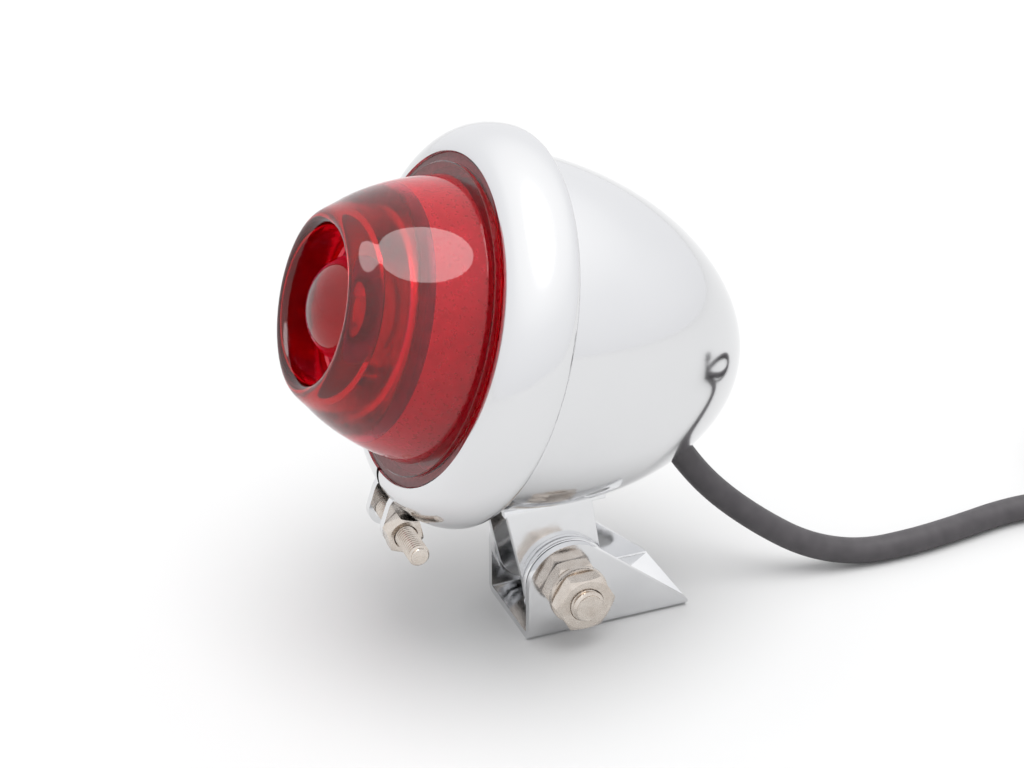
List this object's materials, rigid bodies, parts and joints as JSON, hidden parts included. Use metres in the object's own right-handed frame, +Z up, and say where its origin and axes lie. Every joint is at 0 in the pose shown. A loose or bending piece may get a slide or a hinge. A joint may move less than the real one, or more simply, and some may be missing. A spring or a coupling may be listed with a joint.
{
  "type": "motorcycle tail light",
  "caption": "Bullet-shaped chrome tail light with a domed red lens, clamped bezel, folded base bracket, tilting pivot bolt and a trailing cable.",
  "frame": {"origin": "centre of the base bracket's mounting face, midway between its two mounting holes", "axes": "+Z up out of the mounting face, -Y the way the lens looks, +X along the pivot bolt to its threaded end"},
  "size_m": [0.091, 0.3349, 0.1232],
  "materials": {
    "chrome_plate": "polished",
    "nickel_hardware": "bright nickel plate",
    "red_lens": "clear red, moulded",
    "gasket_rubber": "matt grey foam rubber",
    "bright_reflector": "bright pressed sheet",
    "plated_socket": "zinc plate",
    "bulb_brass": "bright",
    "bulb_glass": "clear",
    "filament_wire": "bare wire",
    "insulator": "phenolic board",
    "spring_steel": "spring steel",
    "tail_wire": "insulation",
    "brake_wire": "insulation",
    "ground_wire": "insulation",
    "cable_jacket": "matt dark grey jacket",
    "black_rubber": "matt",
    "black_nylon": "fine texture"
  },
  "bodies": {
    "base": {"base_bracket": "chrome_plate", "pivot_bolt": "nickel_hardware", "pivot_head_washer": "nickel_hardware", "pivot_inner_nut": "nickel_hardware", "pivot_lock_washer": "nickel_hardware", "pivot_outer_nut": "nickel_hardware", "thrust_washers": "nickel_hardware", "cable": "cable_jacket", "cable_coil": "cable_jacket", "coil_tie": "black_nylon", "cable_tail": "cable_jacket", "cable_boot": "black_rubber", "cable_plug": "black_nylon", "plug_contacts": "bulb_brass"},
    "head": {"head_bracket": "chrome_plate", "housing": "chrome_plate", "bezel": "chrome_plate", "clamp_screw": "nickel_hardware", "clamp_nut": "nickel_hardware", "lens": "red_lens", "lens_gasket": "gasket_rubber", "reflector": "bright_reflector", "socket_barrel": "plated_socket", "socket_rivets": "plated_socket", "ground_terminal": "bulb_brass", "ground_screw": "plated_socket", "contact_spring": "spring_steel", "tail_wire": "tail_wire", "brake_wire": "brake_wire", "ground_wire": "ground_wire", "cable_grommet": "black_rubber", "cable_inner_end": "cable_jacket", "inner_tie": "black_nylon"},
    "bulb": {"bulb_cap": "bulb_brass", "bulb_insulator": "insulator", "bulb_contacts": "filament_wire", "bulb_glass": "bulb_glass", "bulb_stem": "bulb_glass", "bulb_supports": "filament_wire", "bulb_filaments": "filament_wire"},
    "contacts": {"contact_carrier": "insulator", "contact_plungers": "bulb_brass"}
  },
  "joints": [
    {"name": "head_tilt", "type": "hinge", "parent": "base", "child": "head", "pos_m": [0, -0.0104, 0.014], "axis": [-1, 0, 0], "range_deg": [-25, 35], "deforming": ["cable"]},
    {"name": "bulb_push", "type": "slide", "parent": "head", "child": "bulb", "axis": [0, 0.95, -0.3123], "range_m": [0, 0.002], "stiffness_N_per_m": 400, "springref_m": -0.015, "deforming": ["contact_spring", "tail_wire", "brake_wire"]},
    {"name": "contact_push", "type": "slide", "parent": "head", "child": "contacts", "axis": [0, 0.95, -0.3123], "range_m": [0, 0.002]}
  ],
  "couplings": [
    {"joint": "contact_push", "follows": "bulb_push", "ratio": 1}
  ]
}
